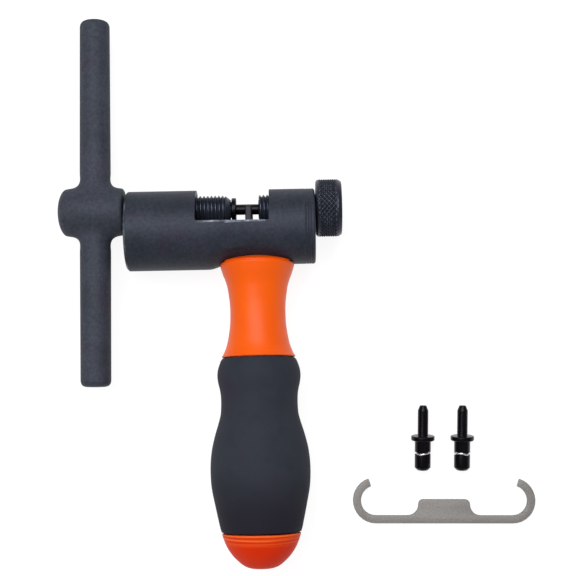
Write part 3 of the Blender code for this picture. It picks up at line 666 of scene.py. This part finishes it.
# Along a pin's axis from its flange's front face
PIN_TIP, PIN_R = 10.4, 1.78
POINT_LENGTH, POINT_R = 1.7, 1.15
FLANGE_BACK, FLANGE_R, FLANGE_CHAMFER = -1.55, 4.0, 0.22
SHANK_END, SHANK_R = -11.75, 2.72
RING_AT, RING_R, WIRE_R, GROOVE_R = -5.85, 2.6, 0.35, 2.35
PIN_PLACE = -6.7                  # the fitted pin's flange on the screws' axis
SPARE_RING_TURN = 0.9             # radians, so that the rings don't all lie the same way


def pin_outline():
    """From the point, over the flange and the ring's groove, to the shank's end."""
    rim = FLANGE_R - FLANGE_CHAMFER
    tip = [(PIN_TIP, 0.0), (PIN_TIP, POINT_R - 0.15), (PIN_TIP - 0.15, POINT_R),
           (PIN_TIP - POINT_LENGTH, PIN_R), (0.0, PIN_R)]
    flange = [(0.0, rim), (-FLANGE_CHAMFER, FLANGE_R), (FLANGE_BACK + FLANGE_CHAMFER, FLANGE_R),
              (FLANGE_BACK, rim), (FLANGE_BACK, SHANK_R)]
    groove = [(RING_AT + 0.4, SHANK_R), (RING_AT + 0.3, GROOVE_R), (RING_AT - 0.3, GROOVE_R),
              (RING_AT - 0.4, SHANK_R)]
    return tip + flange + groove + [(SHANK_END + 0.9, SHANK_R), (SHANK_END, 1.85), (SHANK_END, 0.0)]


def make_pin(name, place, body, node):
    pin = closed(turned(name, rounded(pin_outline(), 0.12, 3), place, 64))
    shade(pin)
    fit(pin, body, "pin_steel", node)


def make_ring(name, place, body, node):
    """Snap ring of bright wire that waves in its groove."""
    vertices = []
    sides, wire = 96, 12
    for i in range(sides):
        angle = 2 * math.pi * i / sides
        along = RING_AT + 0.22 * math.sin(3 * angle + 0.6) + 0.07 * math.sin(7 * angle)
        for j in range(wire):
            around = 2 * math.pi * j / wire
            radius = RING_R + WIRE_R * math.cos(around)
            vertices.append((along + WIRE_R * math.sin(around), radius * math.cos(angle),
                             radius * math.sin(angle)))
    ring = new_object(name, vertices, grid_faces(sides, wire, True), place)
    shade(ring, 60.0)
    fit(ring, body, "ring_steel", node)


def pin_place(node):
    """Where a pin lies, from its CAD vertices: +X points to its tip, from the flange's front."""
    points = np.array([v.co for v in NODES[node].data.vertices])
    middle = points.mean(0)
    axis = np.linalg.svd(points - middle)[2][0]
    along = (points - middle) @ axis
    off = np.linalg.norm(points - middle - np.outer(along, axis), axis=1)
    if off[along > 0.75 * along.max()].max() > off[along < 0.75 * along.min()].max():
        axis, along = -axis, -along
    x = Vector(axis)
    y = x.cross(Vector((0.0, 0.0, 1.0))).normalized()
    return matrix(x, y, x.cross(y), Vector(middle) + x * (along.max() - PIN_TIP * MM))


def make_pins():
    """Driving pin in the spindle, and the two spares that lie loose."""
    fitted = TOOL @ Matrix.Translation((PIN_PLACE * MM, 0.0, 0.0))
    make_pin("pin_fitted", fitted, "pin_carriage", "driving_pin")
    make_ring("ring_fitted", fitted, "pin_carriage", "driving_pin_ring")
    for number in (1, 2):
        body = "loose_pin_%d" % number
        place = pin_place("spare_pin_%d" % number)
        turn = Matrix.Rotation(SPARE_RING_TURN * number, 4, "X")
        make_pin("pin_spare_%d" % number, place, body, "spare_pin_%d" % number)
        make_ring("ring_spare_%d" % number, place @ turn, body, "spare_pin_ring_%d" % number)


# ------------------------------------------------------------ T-bar

BAR_X = -54.4
BAR_TOP, BAR_BOTTOM = 66.4, -58.9
BAR_R, BAR_END_R = 5.27, 5.1
HUB_FACE = -44.6
CREASE_BAR_R, CREASE_HUB_R, CREASE_REACH = 5.2, 8.3, 4.0    # where bar and hub meet


def make_t_bar():
    """Forged bar and hub in one: remeshed together, then relaxed where they meet."""
    middle = 0.5 * (BAR_TOP + BAR_BOTTOM)
    ends = [(BAR_BOTTOM, 0.0), (BAR_BOTTOM, BAR_END_R), (0.0, BAR_R), (BAR_TOP, BAR_END_R),
            (BAR_TOP, 0.0)]
    outline = [(a - middle, r) for a, r in rounded(ends, 3.0, 8)]
    place = (TOOL @ Matrix.Translation((BAR_X * MM, middle * MM, 0.0))
             @ Matrix.Rotation(math.radians(90.0), 4, "Z"))
    bar = closed(turned("t_bar", outline, place, 72))
    dome = curve([(-66.88, 1.2), (-66.75, 2.6), (-66.35, 4.55), (-65.67, 6.3), (-64.66, 7.64),
                  (-62.96, 8.3), (-61.0, 8.4), (BAR_X, 8.35)], 3)
    face = [(HUB_FACE - 0.6, 8.22), (HUB_FACE, 7.75), (HUB_FACE, 0.0)]
    cut(bar, closed(turned("hub", [(-66.9, 0.0)] + dome + face, TOOL, 72)), "UNION")
    modifier(bar, "REMESH", mode="VOXEL", voxel_size=0.36 * MM)
    relax(bar)
    bar.data.shade_smooth()
    fit(bar, "spindle", "bar_steel", "t_bar_handle")


def relax(bar):
    """Melt the crease between bar and hub into a fillet, and the remesh steps elsewhere."""
    mesh = bar.data
    count = len(mesh.vertices)
    co = np.zeros(count * 3)
    mesh.vertices.foreach_get("co", co)
    co = co.reshape(-1, 3)
    edges = np.zeros(len(mesh.edges) * 2, int)
    mesh.edges.foreach_get("vertices", edges)
    a, b = edges.reshape(-1, 2).T
    valence = np.bincount(np.concatenate([a, b]), minlength=count)[:, None]
    to_tool = np.array(TOOL.inverted() @ bar.matrix_world)
    tool = (co @ to_tool[:3, :3].T + to_tool[:3, 3]) / MM
    from_bar = np.abs(np.hypot(tool[:, 0] - BAR_X, tool[:, 2]) - CREASE_BAR_R)
    from_hub = np.abs(np.hypot(tool[:, 1], tool[:, 2]) - CREASE_HUB_R)
    away = np.maximum(from_bar, from_hub) / CREASE_REACH
    crease = np.clip(1.2 - away, 0.0, 1.0)[:, None]

    def step(weight):
        """Every point moved by a share of the way to its neighbours' middle."""
        total = np.stack([np.bincount(a, co[b, i], count) + np.bincount(b, co[a, i], count)
                          for i in range(3)], 1)
        return co + (total / valence - co) * weight

    for _ in range(150):
        co = step(0.7 * crease)
    for _ in range(4):
        co = step(0.5)
        co = step(-0.52)
    mesh.vertices.foreach_set("co", co.ravel())
    mesh.update()


# ------------------------------------------------------------ handle

# Down the handle from the screws' axis, and radii
COLLAR_TOP = 15.9
SHOULDER = 50.02                  # neck's end, where the tube goes into the grip
TUBE_R, TUBE_BORE, TUBE_END = 10.3, 8.2, 107.5
BOSS_R, BOSS_END, STUD_R = 6.3, 34.0, 4.25    # room for the body's boss and the stud
SEAT_GAP = 0.16                   # body to collar


def make_neck():
    """Orange neck: shallow domed collar saddled on the body, waist, and the tube below."""
    dome = [(COLLAR_TOP, 6.4), (16.5, 7.3), (17.05, 9.4), (17.6, 11.2), (17.85, 11.85), (17.98, 12.0),
            (18.08, 11.7), (18.36, 11.75), (18.5, 12.25), (18.8, 12.46), (19.1, 12.52)]
    waist = curve([(19.1, 12.52), (20.0, 12.25), (22.0, 11.63), (24.0, 10.84), (26.0, 10.23),
                   (28.0, 9.87), (30.0, 9.58), (32.2, 9.36), (35.0, 9.27), (38.2, 9.34),
                   (40.2, 9.53), (42.25, 9.83), (44.3, 10.19), (46.3, 10.69), (48.3, 11.47),
                   (49.35, 11.98)], 5)
    lip = [(49.5, 12.22), (49.75, 12.3), (SHOULDER, 12.15)]
    tube = [(SHOULDER, TUBE_R), (TUBE_END, TUBE_R), (TUBE_END, TUBE_BORE), (SHOULDER, TUBE_BORE),
            (SHOULDER, STUD_R), (BOSS_END, STUD_R), (BOSS_END, BOSS_R), (COLLAR_TOP, BOSS_R)]
    outline = rounded(dome, 0.06, 2) + waist[1:] + lip + tube
    neck = closed(turned("neck", outline, HANDLE, 144, ring=True))
    reach = 30.0
    seat = [(-reach, 0.0)] + [(x, BODY_R) for x in np.arange(-reach, reach + 0.5, 0.5)] + [(reach, 0.0)]
    cut(neck, body_lathe("seat", seat, SEAT_GAP))
    shade(neck, 30.0)
    fit(neck, "frame", "orange_plastic", "handle_core")


def make_grip():
    """Rubber sleeve: a low swelling for the thumb, a waist and a full belly."""
    low, high, bore = 50.32, 107.62, 10.62
    skin = curve([(51.1, 12.66), (52.3, 13.13), (54.3, 13.73), (56.3, 13.88), (58.3, 13.66),
                  (60.3, 13.2), (62.3, 12.86), (65.0, 12.74), (68.3, 12.88), (70.2, 13.25),
                  (72.2, 13.82), (74.2, 14.45), (76.2, 15.03), (78.2, 15.53), (80.1, 15.95),
                  (82.1, 16.24), (84.1, 16.44), (87.0, 16.56), (90.0, 16.49), (92.0, 16.35),
                  (93.9, 16.1), (95.9, 15.73), (97.8, 15.33), (99.8, 14.92), (101.8, 14.5),
                  (103.7, 14.09), (105.7, 13.66)], 4)
    outline = rounded([(low, bore), (low, 12.1)] + skin + [(107.5, 13.14), (high, bore)], 0.3, 3)
    grip = turned("grip", outline, HANDLE, 144, ring=True)
    shade(grip, 50.0)
    fit(grip, "frame", "grip_rubber", "rubber_grip")


def lined(down, radius):
    """Point of the cap's skin with its fine turned lines."""
    depth, pitch = 0.035, 0.62
    if 109.0 < down < 118.8:
        radius += depth * math.sin(2 * math.pi * down / pitch)
    return down, radius


def make_cap():
    """End cap with its plug, which has a groove for the seal."""
    top, plug_end, plug_r = 107.95, 99.0, 7.4
    skin = curve([(top, 12.6), (108.0, 12.95), (108.25, 12.98), (109.6, 12.55), (111.5, 11.82),
                  (113.4, 10.79), (115.4, 9.32), (117.3, 7.39), (118.3, 6.11), (118.95, 4.86),
                  (119.35, 3.4), (119.45, 2.0), (119.47, 0.0)], 8)
    plug = [(109.2, 0.0), (109.2, 5.6), (plug_end, 5.6), (plug_end, plug_r), (104.6, plug_r),
            (104.6, 6.3), (107.0, 6.3), (107.0, plug_r), (top, plug_r)]
    outline = rounded(plug, 0.15, 2) + [lined(down, radius) for down, radius in skin]
    cap = closed(turned("end_plug", outline, HANDLE, 144))
    shade(cap, 40.0)
    fit(cap, "cap", "orange_cap", "end_cap")


# ------------------------------------------------------------ hook and hidden pieces

def make_hook():
    """Flat hook: a softened copy of the CAD outline."""
    hook = bpy.data.objects.new("hook", NODES["chain_hook"].data.copy())
    bpy.context.scene.collection.objects.link(hook)
    bm = bmesh.new()
    bm.from_mesh(hook.data)
    bmesh.ops.remove_doubles(bm, verts=bm.verts, dist=WELD)
    bmesh.ops.dissolve_limit(bm, angle_limit=math.radians(1.0), verts=bm.verts, edges=bm.edges)
    bm.to_mesh(hook.data)
    bm.free()
    soften(hook, 0.25, 50.0)
    shade(hook, 40.0)
    fit(hook, "hook", "hook_steel", "chain_hook")


def paint_hidden():
    """Hidden CAD pieces stay as they are and get a material each."""
    for node, paint in (("handle_stud", "zinc_steel"), ("stud_washer", "zinc_steel"),
                        ("stud_nut", "zinc_steel"), ("cap_seal", "seal_rubber")):
        mesh = NODES[node].data
        mesh.materials.clear()
        mesh.materials.append(PAINT[paint])


# ------------------------------------------------------------ camera, light and floor

CAMERA_PLACE = Vector((10.25, -75.99, 444.12))
CAMERA_TILT, CAMERA_ROLL = math.radians(6.3), -0.0195
CAMERA_LENS = 83.1
PALE_HORIZON, SOFT_SKY = 0.8, 0.2
HORIZON_TOP = 0.3                 # upward part of a direction where the sky is fully soft
FLOOR_SIZE, FLOOR_HEIGHT = 6.0, -0.0004
WHITE = (1.0, 1.0, 1.0, 1.0)


def add_camera():
    """Seen from above the grip, nearly straight down, as a product lies on a table."""
    turn = (TOOL.to_3x3().to_4x4() @ Matrix.Rotation(CAMERA_TILT, 4, "X")
            @ Matrix.Rotation(CAMERA_ROLL, 4, "Z"))
    data = bpy.data.cameras.new("camera")
    data.sensor_width = 36.0
    data.lens = CAMERA_LENS
    data.clip_end = 20.0
    camera = bpy.data.objects.new("camera", data)
    camera.matrix_world = Matrix.Translation(TOOL @ (CAMERA_PLACE * MM)) @ turn
    bpy.context.scene.collection.objects.link(camera)
    bpy.context.scene.camera = camera


def add_area(name, place, size, power):
    """Rectangular light that faces the part."""
    data = bpy.data.lights.new(name, "AREA")
    data.shape = "RECTANGLE"
    data.size, data.size_y = size
    data.energy = power
    light = bpy.data.objects.new(name, data)
    light.location = place
    light.rotation_euler = (-Vector(place)).to_track_quat("-Z", "Y").to_euler()
    bpy.context.scene.collection.objects.link(light)


def add_world():
    """White room, pale at the horizon and soft above, so that black steel stays black."""
    world = bpy.data.worlds.new("studio")
    bpy.context.scene.world = world
    world.use_nodes = True
    tree = world.node_tree
    direction = tree.nodes.new("ShaderNodeTexCoord")
    split = tree.nodes.new("ShaderNodeSeparateXYZ")
    fade = tree.nodes.new("ShaderNodeMapRange")
    fade.inputs["From Max"].default_value = HORIZON_TOP
    fade.inputs["To Min"].default_value = PALE_HORIZON
    fade.inputs["To Max"].default_value = SOFT_SKY
    tree.links.new(direction.outputs["Generated"], split.inputs["Vector"])
    tree.links.new(split.outputs["Z"], fade.inputs["Value"])
    background = tree.nodes["Background"]
    background.inputs["Color"].default_value = WHITE
    tree.links.new(fade.outputs["Result"], background.inputs["Strength"])


def add_floor():
    """White paper that glows a little, so that only soft shadows show on it."""
    bpy.ops.mesh.primitive_plane_add(size=FLOOR_SIZE, location=(0.0, 0.0, FLOOR_HEIGHT))
    floor = bpy.context.object
    floor.name = "floor"
    paper = Paint("floor_paper", (0.15, 0.15, 0.15), 0.9)
    paper.set("Emission Color", WHITE)
    paper.set("Emission Strength", 0.9)
    paper.bump(paper.noise(300.0, 3.0), 0.02)
    floor.data.materials.append(paper.material)


make_body()
make_spindle()
make_t_bar()
make_adjuster()
make_bush()
make_knob()
make_pins()
make_neck()
make_grip()
make_cap()
make_hook()
paint_hidden()

bpy.context.scene.view_settings.view_transform = "Standard"
add_camera()
add_world()
add_area("key", (-0.14, 0.23, 0.79), (0.9, 0.55), 8.0)
add_area("fill", (0.25, -0.7, 0.55), (0.6, 0.4), 0.6)
add_floor()
